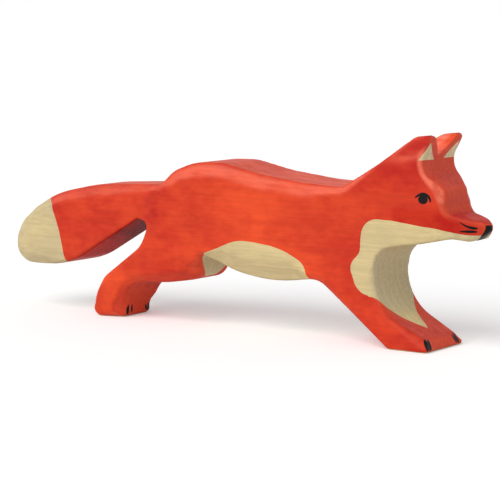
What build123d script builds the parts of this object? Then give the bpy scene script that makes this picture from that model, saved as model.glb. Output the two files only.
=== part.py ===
"""Running fox, a wooden toy figurine.

The fox is sawn from one flat maple board, narrowed at the head, the tail end and the hind foot,
eased along its edges with a knife and notched between the ears. A red stain coat leaves the tail
tip, the belly, the throat, the fronts of the ears and the soles bare, and the eyes, nose, mouth and
claws are black brush marks. Coat and marks lie in the surface of the wood, as deep as stain soaks in.

Millimetres. +X runs to the nose, +Y to the fox's left and +Z up. The origin is on the surface that
the fox stands on, below the middle of its length and of its thickness.
"""

import os
from math import atan2, dist, pi, sqrt, tan

from build123d import *

# Lengths along the fox
TAIL_LENGTH = 70.7
TRUNK_LENGTH = 75.0
HEAD_LENGTH = 49.3
FRONT_FOOT_LENGTH = 18.8
HIND_FOOT_LENGTH = 13.0
FRONT_TOE_SETBACK = 15.1  # nose back to the front toe
HIND_HEEL_SETBACK = 31.8  # tail root back to the hind heel
GROIN_REACH = 17.0  # tail root forward to the groin
EAR_SETBACK = 15.5  # nose back to the ear tips

# Heights above the soles
EAR_HEIGHT = 70.0
RUMP_HEIGHT = 58.2
BACK_HEIGHT = 52.0
TAIL_ROOT_HEIGHT = 49.2
MUZZLE_HEIGHT = 42.6
THROAT_HEIGHT = 32.9
GROIN_HEIGHT = 25.6
BELLY_HEIGHT = 18.2
TAIL_UNDERSIDE_HEIGHT = 16.2
KNEE_HEIGHT = 14.2
FRONT_SHIN_HEIGHT = 14.6
HIND_HEEL_HEIGHT = 8.0
FRONT_PAW_HEIGHT = 3.9
HIND_PAW_HEIGHT = 4.0

# Widths across the fox
THICKNESS = 24.0
NOSE_WIDTH = 6.4
CHEEK_WIDTH = 19.0
TAIL_END_WIDTH = 14.0
HIND_SOLE_WIDTH = 19.0
EAR_TIP_WIDTH = 20.4  # over the outsides of the two ear tips
EAR_NOTCH_WIDTH = 15.0  # between the two ear tips

# Carving
EDGE_CUT = 0.9  # every edge of the outline
BACK_CUT = 3.6  # width of the deeper knife cuts along the long edges
TAIL_CUT = 3.2
BELLY_CUT = 4.8
KNEE_CUT = 3.6
BROW_CUT = 3.4
EAR_NOTCH_DEPTH = 7.0
EAR_SLOPE_HEIGHT = 8.0
HEAD_TAPER_LENGTH = 33.0
MUZZLE_LENGTH = 12.0
TAIL_TAPER_LENGTH = 24.0

# Finish
STAIN_DEPTH = 0.7
BARE_TAIL_LENGTH = 26.6
BARE_BELLY_HEIGHT = 31.0
JAW_LINE_HEIGHT = 41.6
CHEST_BARE_HEIGHT = 15.6  # where the bare chest starts at the sides
CHEST_TIP_HEIGHT = 6.6
CHEST_BARE_WIDTH = 19.0
GROIN_BARE_WIDTH = 14.0
EAR_BARE_HEIGHT = 5.4
NOSE_PAINT_LENGTH = 3.0
EYE_WIDTH = 3.0
LID_LENGTH = 6.0
BRUSH_WIDTH = 0.7
CLAW_LENGTH = 3.4
FRONT_CLAW_LIFT = 0.7
HIND_CLAW_LIFT = 1.2
CLAW_WIDTH = 0.9
CLAW_SPACING = 2.2
CLAW_EDGE_DISTANCE = 3.8  # outer claw to the side of the foot

# Places along the fox that its outline and its finish are set out from
LENGTH = TAIL_LENGTH + TRUNK_LENGTH + HEAD_LENGTH
TAIL_END = -LENGTH / 2
TAIL_ROOT = TAIL_END + TAIL_LENGTH
NECK = TAIL_ROOT + TRUNK_LENGTH
NOSE = NECK + HEAD_LENGTH
FRONT_TOE = NOSE - FRONT_TOE_SETBACK
FRONT_HEEL = FRONT_TOE - FRONT_FOOT_LENGTH
HIND_HEEL = TAIL_ROOT - HIND_HEEL_SETBACK
HIND_TOE = HIND_HEEL + HIND_FOOT_LENGTH
GROIN = TAIL_ROOT + GROIN_REACH
EAR_TIP = NOSE - EAR_SETBACK
SHIN_BEND_HEIGHT = KNEE_HEIGHT - 0.8
HALF = THICKNESS / 2
TIGHT_CORNER = EDGE_CUT + 0.4  # least outline radius that takes the edge cut
BARE_SOLE_HEIGHT = STAIN_DEPTH + 0.3
CLEAR = 2.0  # how far a cutter runs past what it cuts
CUT_REACH = CLEAR + BELLY_CUT + 0.8  # how far in the deeper knife cuts run
SIDES = {"left": 1, "right": -1}


def fox_outline():
    """The sawn side outline, clockwise from under the tail end, as (x, z, corner radius)."""
    tail_top = [
        (TAIL_END, TAIL_UNDERSIDE_HEIGHT + 0.4, 8.0),
        (TAIL_END, TAIL_UNDERSIDE_HEIGHT + 12.6, 9.0),
        (TAIL_END + 6.5, TAIL_UNDERSIDE_HEIGHT + 18.7, 30.0),
        (TAIL_END + 19.5, TAIL_ROOT_HEIGHT - 6.8, 45.0),
        (TAIL_ROOT - 31.2, TAIL_ROOT_HEIGHT - 2.2, 80.0),
        (TAIL_ROOT, TAIL_ROOT_HEIGHT, 0.8),
    ]
    back = [
        (TAIL_ROOT + 4.3, RUMP_HEIGHT - 4.2, 12.0),
        (TAIL_ROOT + 14.8, RUMP_HEIGHT - 0.4, 25.0),
        (TAIL_ROOT + 26.8, RUMP_HEIGHT, 25.0),
        (TAIL_ROOT + 40.8, BACK_HEIGHT + 2.2, 60.0),
        (NECK - 16.2, BACK_HEIGHT + 0.2, 60.0),
        (NECK, BACK_HEIGHT, 12.0),
    ]
    head = [
        (EAR_TIP - 6.7, EAR_HEIGHT, 6.0),
        (EAR_TIP, EAR_HEIGHT, TIGHT_CORNER),
        (EAR_TIP - 5.6, EAR_HEIGHT - 10.2, 6.5),
        (NOSE - 12.8, MUZZLE_HEIGHT + 9.0, 6.0),
        (NOSE - 11.4, MUZZLE_HEIGHT + 1.7, 4.0),
        (NOSE - 3.5, MUZZLE_HEIGHT, 4.0),
        (NOSE, MUZZLE_HEIGHT - 1.3, TIGHT_CORNER),
        (NOSE, MUZZLE_HEIGHT - 3.2, TIGHT_CORNER),
        (NOSE - 4.5, MUZZLE_HEIGHT - 6.6, 4.0),
        (NOSE - 11.5, MUZZLE_HEIGHT - 6.2, 10.0),
    ]
    front_leg = [
        (FRONT_TOE - 19.4, THROAT_HEIGHT, 6.0),
        (FRONT_TOE - 22.2, FRONT_SHIN_HEIGHT, 14.0),
        (FRONT_TOE - 2.2, FRONT_PAW_HEIGHT, 2.5),
        (FRONT_TOE, 0.0, TIGHT_CORNER),
        (FRONT_HEEL, 0.0, 3.0),
    ]
    belly = [
        (FRONT_HEEL - 25.5, BELLY_HEIGHT + 2.4, 8.0),
        (GROIN + 29.8, BELLY_HEIGHT, 60.0),
        (GROIN + 12.8, BELLY_HEIGHT + 2.0, 40.0),
        (GROIN, GROIN_HEIGHT, 2.2),
    ]
    hind_leg = [
        (GROIN - 2.2, KNEE_HEIGHT + 2.0, 5.5),
        (GROIN - 16.2, KNEE_HEIGHT, 60.0),
        (HIND_TOE + 4.8, SHIN_BEND_HEIGHT, 5.0),
        (HIND_TOE + 0.6, HIND_PAW_HEIGHT, 8.0),
        (HIND_TOE, 0.0, TIGHT_CORNER),
        (HIND_HEEL, 0.0, 2.6),
        (HIND_HEEL + 1.0, HIND_HEEL_HEIGHT, 20.0),
        (HIND_HEEL + 5.2, KNEE_HEIGHT + 2.0, 6.0),
        (HIND_HEEL + 19.6, KNEE_HEIGHT + 10.6, 12.0),
    ]
    tail_underside = [
        (TAIL_ROOT - 6.2, TAIL_ROOT_HEIGHT - 13.8, 2.2),
        (TAIL_ROOT - 10.8, TAIL_ROOT_HEIGHT - 12.6, 1.8),
        (TAIL_END + 29.3, TAIL_UNDERSIDE_HEIGHT + 1.7, 9.0),
        (TAIL_END + 15.5, TAIL_UNDERSIDE_HEIGHT, 60.0),
    ]
    return tail_top + back + head + front_leg + belly + hind_leg + tail_underside


def knife_lines():
    """Where the deeper knife cuts start on the sides, as (line, bend radii, way round outside)."""
    above = EAR_HEIGHT
    tail = [
        (TAIL_END - 1.0, TAIL_UNDERSIDE_HEIGHT + 11.0),
        (TAIL_END + 8.2, TAIL_ROOT_HEIGHT - 13.8 - TAIL_CUT),
        (TAIL_END + 21.0, TAIL_ROOT_HEIGHT - 6.6 - TAIL_CUT),
        (TAIL_ROOT - 30.6, TAIL_ROOT_HEIGHT - 2.2 - TAIL_CUT),
        (TAIL_ROOT - 9.5, TAIL_ROOT_HEIGHT - 0.6 - TAIL_CUT),
        (TAIL_ROOT - 0.6, TAIL_ROOT_HEIGHT + 0.3),
    ]
    back = [
        (TAIL_ROOT - 0.4, TAIL_ROOT_HEIGHT + 0.3),
        (TAIL_ROOT + 6.4, RUMP_HEIGHT - 3.5 - BACK_CUT),
        (TAIL_ROOT + 15.4, RUMP_HEIGHT - 0.3 - BACK_CUT),
        (TAIL_ROOT + 26.4, RUMP_HEIGHT - BACK_CUT),
        (TAIL_ROOT + 40.2, BACK_HEIGHT + 2.3 - BACK_CUT),
        (NECK - 16.4, BACK_HEIGHT + 0.2 - BACK_CUT),
        (NECK + 1.3, BACK_HEIGHT + 0.9),
    ]
    belly = [
        (FRONT_HEEL - 17.6, BELLY_HEIGHT - 4.0),
        (FRONT_HEEL - 29.6, BELLY_HEIGHT + BELLY_CUT - 0.4),
        (GROIN + 29.8, BELLY_HEIGHT + BELLY_CUT),
        (GROIN + 13.8, BELLY_HEIGHT + 2.0 + BELLY_CUT),
        (GROIN, GROIN_HEIGHT),
    ]
    knee = [
        (GROIN - 1.0, GROIN_HEIGHT - 4.1),
        (GROIN - 4.2, KNEE_HEIGHT + 1.7 + KNEE_CUT),
        (GROIN - 16.2, KNEE_HEIGHT + KNEE_CUT),
        (HIND_TOE + 7.0, SHIN_BEND_HEIGHT + KNEE_CUT),
        (HIND_TOE + 2.0, HIND_PAW_HEIGHT + 3.2),
    ]
    brow = [
        (EAR_TIP - 4.6, EAR_HEIGHT - 8.0),
        (EAR_TIP - 6.6 - BROW_CUT / 3, EAR_HEIGHT - 12.6),
        (NOSE - 12.8 - BROW_CUT, MUZZLE_HEIGHT + 6.0),
        (NOSE - 11.4 - BROW_CUT, MUZZLE_HEIGHT + 1.2),
        (NOSE - 7.0, MUZZLE_HEIGHT + 2.0),
    ]
    return [
        (brow, [6.5, 8.0, 4.0], [(NOSE + CLEAR, MUZZLE_HEIGHT + 2.0), (NOSE + CLEAR, brow[0][1])]),
        (tail, [9.0, 40.0, 60.0, 12.0], [(tail[-1][0], above), (tail[0][0], above)]),
        (back, [6.0, 25.0, 20.0, 40.0, 30.0], [(back[-1][0], above), (back[0][0], above)]),
        (belly, [6.0, 40.0, 30.0], [(belly[-1][0], 8.0), (belly[0][0], 8.0)]),
        (knee, [3.0, 60.0, 6.0], [(HIND_TOE + 8.0, 2.0), (GROIN + 1.0, 2.0), (GROIN + 1.0, knee[0][1])]),
    ]


def fitting_radii(places, radii):
    """The radii of a line's corners, each no larger than the edges beside it have room for."""
    count = len(places)
    ways = [atan2(z - places[i - 1][1], x - places[i - 1][0]) for i, (x, z) in enumerate(places)]
    turns = [abs((ways[(i + 1) % count] - ways[i] + pi) % (2 * pi) - pi) for i in range(count)]
    runs = [radius * tan(turn / 2) for radius, turn in zip(radii, turns)]
    edges = [dist(places[i - 1], places[i]) for i in range(count)]
    room = [min(1.0, 0.999 * edges[i] / max(runs[i - 1] + runs[i], 1e-9)) for i in range(count)]
    return [radius * min(room[i], room[(i + 1) % count]) for i, radius in enumerate(radii)]


def knife_cuts(inset):
    """Cutters of the deeper knife cuts, at 45 degrees from both sides, moved inwards by inset."""
    with BuildPart() as knife:
        with BuildSketch(Plane.XY.offset(-HALF - CLEAR)):
            for line, bends, way_round in knife_lines():
                with BuildLine():
                    FilletPolyline(*line, radius=fitting_radii(line, [0, *bends, 0])[1:-1])
                    Polyline(line[-1], *way_round, line[0])
                make_face()
            offset(amount=CLEAR + inset * sqrt(2))
        extrude(amount=CUT_REACH, taper=45)
        mirror(about=Plane.XY)
    return knife.part.rotate(Axis.X, 90)


def carve_fox(inset):
    """The carved fox with its surfaces moved inwards by inset; 0 gives the fox itself."""
    corners = [(x, z) for x, z, radius in fox_outline()]
    radii = fitting_radii(corners, [radius for x, z, radius in fox_outline()])
    side = HALF - inset
    outside = HALF + CLEAR
    with BuildPart() as fox:
        # The board, sawn to the side outline
        with BuildSketch(Plane.XZ):
            with BuildLine():
                FilletPolyline(*corners, radius=radii, close=True)
            make_face()
            if inset:
                offset(amount=-inset)
        extrude(amount=side, both=True)

        # The head narrowed in plan towards the nose
        head_start = (NOSE - HEAD_TAPER_LENGTH, side)
        cheek = (NOSE - MUZZLE_LENGTH, CHEEK_WIDTH / 2 - inset)
        nose = (NOSE + CLEAR, NOSE_WIDTH / 2 - CLEAR / 2 - inset)
        with BuildSketch(Plane.XY.offset(THROAT_HEIGHT - 5)):
            with BuildLine():
                Polyline(head_start, (head_start[0], outside), (nose[0], outside), nose)
                Spline(nose, cheek, head_start, tangents=[(-2, 1), (-1, 0)])
            make_face()
            mirror(about=Plane.XZ)
        extrude(amount=EAR_HEIGHT, mode=Mode.SUBTRACT)

        # The tail narrowed in plan towards its end
        tail_start = (TAIL_END + TAIL_TAPER_LENGTH, side)
        tail_end = (TAIL_END - CLEAR, TAIL_END_WIDTH / 2 - inset)
        with BuildSketch(Plane.XY):
            with BuildLine():
                Polyline(tail_start, (tail_start[0], outside), (tail_end[0], outside), tail_end)
                Spline(tail_end, tail_start, tangents=[(2, 1), (1, 0)])
            make_face()
            mirror(about=Plane.XZ)
        extrude(amount=TAIL_ROOT_HEIGHT, mode=Mode.SUBTRACT)

        # The hind foot narrowed towards its sole
        taper_start = (side, SHIN_BEND_HEIGHT - 1.0)
        taper_end = (HIND_SOLE_WIDTH / 2 - inset, -CLEAR)
        with BuildSketch(Plane.YZ.offset(HIND_HEEL - CLEAR)):
            with BuildLine():
                Polyline(taper_start, (outside, taper_start[1]), (outside, taper_end[1]), taper_end)
                Spline(taper_end, taper_start, tangents=[(1, 3), (0, 1)])
            make_face()
            mirror(about=Plane.YZ)
        extrude(amount=TAIL_ROOT - HIND_HEEL, mode=Mode.SUBTRACT)

        # Every edge along the outline eased
        if not inset:
            sawn_walls = fox.faces().filter_by(lambda face: abs(face.normal_at(face.center()).Y) < 1e-4)
            rim = sawn_walls.edges().filter_by(Axis.Y, reverse=True)
            chamfer(rim, EDGE_CUT)

        # The long edges cut back further with a knife
        add(knife_cuts(inset), mode=Mode.SUBTRACT)

        # The ears parted by a notch and sloped on their outsides
        notch_foot = EAR_HEIGHT - EAR_NOTCH_DEPTH
        slope_foot = EAR_HEIGHT - EAR_SLOPE_HEIGHT
        above = EAR_HEIGHT + CLEAR
        notch_run = EAR_NOTCH_WIDTH / 2 * (above - notch_foot) / EAR_NOTCH_DEPTH
        slope_run = (HALF - EAR_TIP_WIDTH / 2) * (above - slope_foot) / EAR_SLOPE_HEIGHT
        with BuildSketch(Plane.YZ.offset(NECK)):
            with BuildLine():
                Polyline((0, notch_foot), (notch_run, above), (-notch_run, above), close=True)
            make_face()
            with BuildLine():
                Polyline((HALF, slope_foot), (HALF, above), (HALF - slope_run, above), close=True)
            make_face()
            mirror(about=Plane.YZ)
            if inset:
                offset(amount=inset, kind=Kind.INTERSECTION)
        extrude(amount=HEAD_LENGTH, mode=Mode.SUBTRACT)
    return fox.part


def bare_places():
    """Cutters round the places that the stain leaves bare."""
    below = BELLY_HEIGHT - 8
    with BuildPart() as bare:
        # Tail tip, behind a line that bows towards the body
        tail_line = TAIL_END + BARE_TAIL_LENGTH
        line_top = (tail_line - 7.0, TAIL_ROOT_HEIGHT - 4)
        line_bow = (tail_line - 0.6, TAIL_UNDERSIDE_HEIGHT + 13.3)
        line_foot = (tail_line, below)
        with BuildSketch(Plane.XZ):
            with BuildLine():
                ThreePointArc(line_top, line_bow, line_foot)
                Polyline(line_foot, (TAIL_END - CLEAR, below), (TAIL_END - CLEAR, line_top[1]), line_top)
            make_face()
        extrude(amount=HALF + CLEAR, both=True)

        # Belly, under an arch from the groin to the front leg
        with BuildSketch(Plane.XZ):
            arch_start = (GROIN + 0.6, GROIN_HEIGHT - 2.5)
            arch_end = (FRONT_HEEL - 25.8, BELLY_HEIGHT + 1.4)
            with BuildLine():
                ThreePointArc(arch_start, (GROIN + 21.5, BARE_BELLY_HEIGHT), arch_end)
                Polyline(arch_end, (arch_end[0], below), (arch_start[0], below), arch_start)
            make_face()
        extrude(amount=HALF + CLEAR, both=True)

        # Front of the thigh, between red margins
        with BuildSketch(Plane.YZ.offset(GROIN - 5)):
            with Locations((0, KNEE_HEIGHT + 7)):
                Rectangle(GROIN_BARE_WIDTH, 9.0)
        extrude(amount=6.0)

        # Throat and chest, below the jaw line
        with BuildSketch(Plane.XZ):
            jaw_start = (NOSE + CLEAR, JAW_LINE_HEIGHT - 3.1)
            chest_end = (FRONT_TOE - 18.0, CHEST_BARE_HEIGHT)
            with BuildLine():
                FilletPolyline(
                    jaw_start,
                    (NOSE - 40.4, JAW_LINE_HEIGHT + 0.8),
                    (FRONT_TOE - 26.2, CHEST_BARE_HEIGHT + 15.8),
                    (FRONT_TOE - 31.4, CHEST_BARE_HEIGHT + 11.8),
                    (FRONT_TOE - 27.6, CHEST_BARE_HEIGHT + 2.0),
                    chest_end,
                    radius=[5.0, 4.0, 4.4, 5.0],
                )
                Polyline(
                    chest_end,
                    (FRONT_TOE - 10.0, CHEST_BARE_HEIGHT + 6),
                    (NOSE + CLEAR, THROAT_HEIGHT - 3),
                    jaw_start,
                )
            make_face()
        extrude(amount=HALF + CLEAR, both=True)

        # Front of the chest, running down to a point between the legs
        with BuildSketch(Plane.YZ.offset(FRONT_TOE - 21.5)):
            with BuildLine():
                Polyline(
                    (0, CHEST_TIP_HEIGHT),
                    (CHEST_BARE_WIDTH / 2, CHEST_BARE_HEIGHT + 1.4),
                    (-CHEST_BARE_WIDTH / 2, CHEST_BARE_HEIGHT + 1.4),
                    close=True,
                )
            make_face()
        extrude(amount=19.0)

        # Fronts of the ears
        with BuildSketch(Plane.YZ.offset(EAR_TIP - 5.5)):
            ear_foot = EAR_HEIGHT - EAR_SLOPE_HEIGHT
            with BuildLine():
                Polyline((3.8, ear_foot), (10.8, ear_foot), (9.4, ear_foot + EAR_BARE_HEIGHT), close=True)
            make_face()
            mirror(about=Plane.YZ)
        extrude(amount=EAR_SETBACK)

        # Soles
        with BuildSketch(Plane.XY.offset(-CLEAR)):
            Rectangle(LENGTH, THICKNESS + CLEAR)
        extrude(amount=CLEAR + BARE_SOLE_HEIGHT)
    return bare.part


def eye_cutter(sign):
    """Cutter round one eye: a dot under a lid stroke."""
    centre = (NOSE - 18.8, MUZZLE_HEIGHT + 6.8)
    with BuildPart() as cutter:
        with BuildSketch(Plane.XZ):
            with Locations(centre):
                Circle(EYE_WIDTH / 2)
            with BuildLine():
                ThreePointArc(
                    (centre[0] - LID_LENGTH / 2, centre[1] + 0.5),
                    (centre[0], centre[1] + EYE_WIDTH / 2),
                    (centre[0] + LID_LENGTH / 2, centre[1] - 0.5),
                )
            trace(line_width=BRUSH_WIDTH)
        extrude(amount=-sign * (HALF + CLEAR))
    return cutter.part


def mouth_cutter(sign):
    """Cutter round the two mouth strokes of one side."""
    with BuildPart() as cutter:
        with BuildSketch(Plane.XZ):
            with BuildLine():
                ThreePointArc(
                    (NOSE - 8.0, MUZZLE_HEIGHT - 0.2),
                    (NOSE - 5.5, MUZZLE_HEIGHT - 1.5),
                    (NOSE - 2.8, MUZZLE_HEIGHT - 2.0),
                )
                Line((NOSE - 8.2, MUZZLE_HEIGHT - 3.2), (NOSE - 2.8, MUZZLE_HEIGHT - 3.1))
            trace(line_width=BRUSH_WIDTH)
        extrude(amount=-sign * HALF)
    return cutter.part


def nose_cutter():
    """Cutter round the painted end of the muzzle."""
    paint_start = NOSE - NOSE_PAINT_LENGTH
    with BuildPart() as cutter:
        with BuildSketch(Plane.XZ):
            with BuildLine():
                Polyline(
                    (paint_start + 1.8, MUZZLE_HEIGHT),
                    (NOSE + CLEAR, MUZZLE_HEIGHT),
                    (NOSE + CLEAR, THROAT_HEIGHT),
                    (paint_start, THROAT_HEIGHT),
                    close=True,
                )
            make_face()
        extrude(amount=NOSE_WIDTH, both=True)
    return cutter.part


def claw_cutter(toe, foot_width, lift, sign):
    """Cutter round the two claw strokes on one side of a foot's front."""
    outer = sign * (foot_width / 2 - CLAW_EDGE_DISTANCE)
    inner = outer - sign * CLAW_SPACING
    with BuildPart() as cutter:
        with BuildSketch(Plane.YZ.offset(toe - 5)):
            with Locations((outer, lift), (inner, lift)):
                Polygon((-CLAW_WIDTH / 2, 0), (CLAW_WIDTH / 2, 0), (0, CLAW_LENGTH), align=None)
        extrude(amount=8.0)
    return cutter.part


def soak_in(cutter):
    """The layer of paint or stain inside a cutter, from the surface down to the core."""
    with BuildPart() as layer:
        add(carved)
        add(cutter, mode=Mode.INTERSECT)
        add(core, mode=Mode.SUBTRACT)
    return layer.part


os.makedirs("parts", exist_ok=True)

# The carved fox, and the core of it that stain and paint don't reach
carved = carve_fox(0)
core = carve_fox(STAIN_DEPTH)
bare = bare_places()

# Black brush marks
mark_cutters = {"nose_tip": nose_cutter()}
for side_name, sign in SIDES.items():
    mark_cutters[side_name + "_eye"] = eye_cutter(sign)
    mark_cutters[side_name + "_mouth"] = mouth_cutter(sign)
    front_claws = claw_cutter(FRONT_TOE, THICKNESS, FRONT_CLAW_LIFT, sign)
    hind_claws = claw_cutter(HIND_TOE, HIND_SOLE_WIDTH, HIND_CLAW_LIFT, sign)
    mark_cutters["front_" + side_name + "_claws"] = front_claws
    mark_cutters["hind_" + side_name + "_claws"] = hind_claws
coats = {mark_name: soak_in(cutter) for mark_name, cutter in mark_cutters.items()}

# Red stain, everywhere but on the bare places and under the marks
with BuildPart() as red_stain:
    add(carved)
    add((bare, core, *mark_cutters.values()), mode=Mode.SUBTRACT)
coats["red_stain"] = red_stain.part

# The wood: its core, and its full surface at the bare places
with BuildPart() as wooden_body:
    add(carved)
    add(bare, mode=Mode.INTERSECT)
    add(mark_cutters.values(), mode=Mode.SUBTRACT)
    add(core)
wooden_body.part.label = "wooden_body"
export_step(wooden_body.part, "parts/wooden_body.step")

for coat_name, coat in coats.items():
    coat.label = coat_name
    export_step(coat, "parts/" + coat_name + ".step")
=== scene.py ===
"""Running fox: a toy sawn from one maple board, eased with a knife, stained red and marked in black.

The fox's outside is worked out as whole arrays. A field gives, at any place, how far that place lies
outside the carved wood: the greatest of the distance past the sawn outline, the distance past the side of
the board and the distances past each knife cut, with a soft corner between them. The skin is where the
field is nought. The stain is the part of the skin outside the bare places, and each black mark is a brush
profile carried along a path on the skin.

Sizes are in millimetres in the row frame (+X to the nose, +Y to the fox's left, +Z up) and become metres
when a mesh is made.
"""

import logging
from dataclasses import dataclass, field
from enum import Enum
from math import cos, pi, radians, sin, sqrt

import bpy
import numpy as np
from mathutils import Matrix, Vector


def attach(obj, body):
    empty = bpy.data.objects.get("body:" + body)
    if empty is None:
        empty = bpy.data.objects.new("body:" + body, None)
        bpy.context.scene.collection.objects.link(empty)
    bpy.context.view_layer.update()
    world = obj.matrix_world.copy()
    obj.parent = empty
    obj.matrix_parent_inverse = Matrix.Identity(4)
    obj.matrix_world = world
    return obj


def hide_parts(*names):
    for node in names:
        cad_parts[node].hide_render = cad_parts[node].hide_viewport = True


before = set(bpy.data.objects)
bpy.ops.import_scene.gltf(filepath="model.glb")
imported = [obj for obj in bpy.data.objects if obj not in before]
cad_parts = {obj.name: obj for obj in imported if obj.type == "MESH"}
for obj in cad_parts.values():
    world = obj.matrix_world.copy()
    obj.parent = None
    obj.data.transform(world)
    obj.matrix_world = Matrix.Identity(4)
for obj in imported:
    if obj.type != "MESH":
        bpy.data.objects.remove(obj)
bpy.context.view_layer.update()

MILLIMETRE = 0.001
IMAGE_WIDTH = 500
WHITE = (1.0, 1.0, 1.0, 1.0)
TINY = 1e-12  # a length or a sine this small counts as nought
GRID_END = 1.001  # keeps a place at the far edge of a table inside its last cell
STRIDE = 0.6  # longest single move of a place that settles on the skin
LEAST_SLOPE = 0.2  # least square of the field's slope that such a move is reckoned with
STROKE_END = 0.01  # half the width that a brush stroke ends with

Triple = tuple[float, float, float]
Points = tuple[tuple[float, float], ...]
Socket = bpy.types.NodeSocket

log = logging.getLogger("fox")


class Slot(Enum):
    """The record's material slots."""

    BARE = "bare_maple"
    RED = "red_stain"
    BLACK = "black_paint"


class Flank(Enum):
    """The two sides of the fox, by the sign of Y."""

    LEFT = 1.0
    RIGHT = -1.0


def soft_max(first: np.ndarray, second: np.ndarray, soft: np.ndarray | float) -> np.ndarray:
    """The greater of two distances, with the corner between them rounded off.

    Where the two differ by less than soft, a parabola is added, a quarter of soft high at their meeting.

    Args:
        first: One distance.
        second: The other distance.
        soft: How far apart the two still blend.

    Returns:
        The blended distance, never less than the greater of the two.
    """
    overlap = np.maximum(soft - np.abs(first - second), 0.0)
    return np.maximum(first, second) + overlap * overlap / (4.0 * soft)


def ramp(value: np.ndarray, start: float, end: float) -> np.ndarray:
    """A smooth step from 0 at start to 1 at end (three t squared less two t cubed)."""
    t = np.clip((value - start) / (end - start), 0.0, 1.0)
    return t * t * (3.0 - 2.0 * t)


def hump(value: np.ndarray, middle: np.ndarray | float, width: float) -> np.ndarray:
    """A bell curve of height 1 about the middle, falling off over the width."""
    return np.exp(-(((value - middle) / width) ** 2))


def unit(rows: np.ndarray) -> np.ndarray:
    """Rows scaled to a length of 1."""
    return rows / np.linalg.norm(rows, axis=1, keepdims=True)


def in_triangles(a: np.ndarray, b: np.ndarray, c: np.ndarray, d: np.ndarray) -> np.ndarray:
    """Two triangles for each face with the corners a, b, c and d, cut from a to c."""
    return np.concatenate([np.stack([a, b, c], 1), np.stack([a, c, d], 1)])


@dataclass(frozen=True)
class Corner:
    """One corner of a line on the fox's side."""

    x: float  # place along the fox
    z: float  # height above the soles
    bend: float  # radius of the arc that rounds the corner
    ease: float = 1.0  # height of the knife cut along the edge there
    slant: float = 1.0  # how many times as high as deep the cut is


@dataclass(frozen=True)
class SideTable:
    """Values worked out on a fine grid over the fox's side, read back between the grid points."""

    left: float  # place of the first column
    bottom: float  # height of the first row
    step: float  # spacing of the grid
    values: np.ndarray  # one value for each column and row

    def read(self, x: np.ndarray, z: np.ndarray) -> np.ndarray:
        """The value at each place, from the four grid points round it in proportion to their nearness.

        Args:
            x: Places along the fox.
            z: Heights.

        Returns:
            One value a place.
        """
        last_column, last_row = np.array(self.values.shape) - GRID_END
        column = np.clip((x - self.left) / self.step, 0.0, last_column)
        row = np.clip((z - self.bottom) / self.step, 0.0, last_row)
        i = column.astype(int)
        j = row.astype(int)
        u = column - i
        v = row - j
        low = self.values[i, j] * (1.0 - u) + self.values[i + 1, j] * u
        high = self.values[i, j + 1] * (1.0 - u) + self.values[i + 1, j + 1] * u
        return low * (1.0 - v) + high * v


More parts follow.
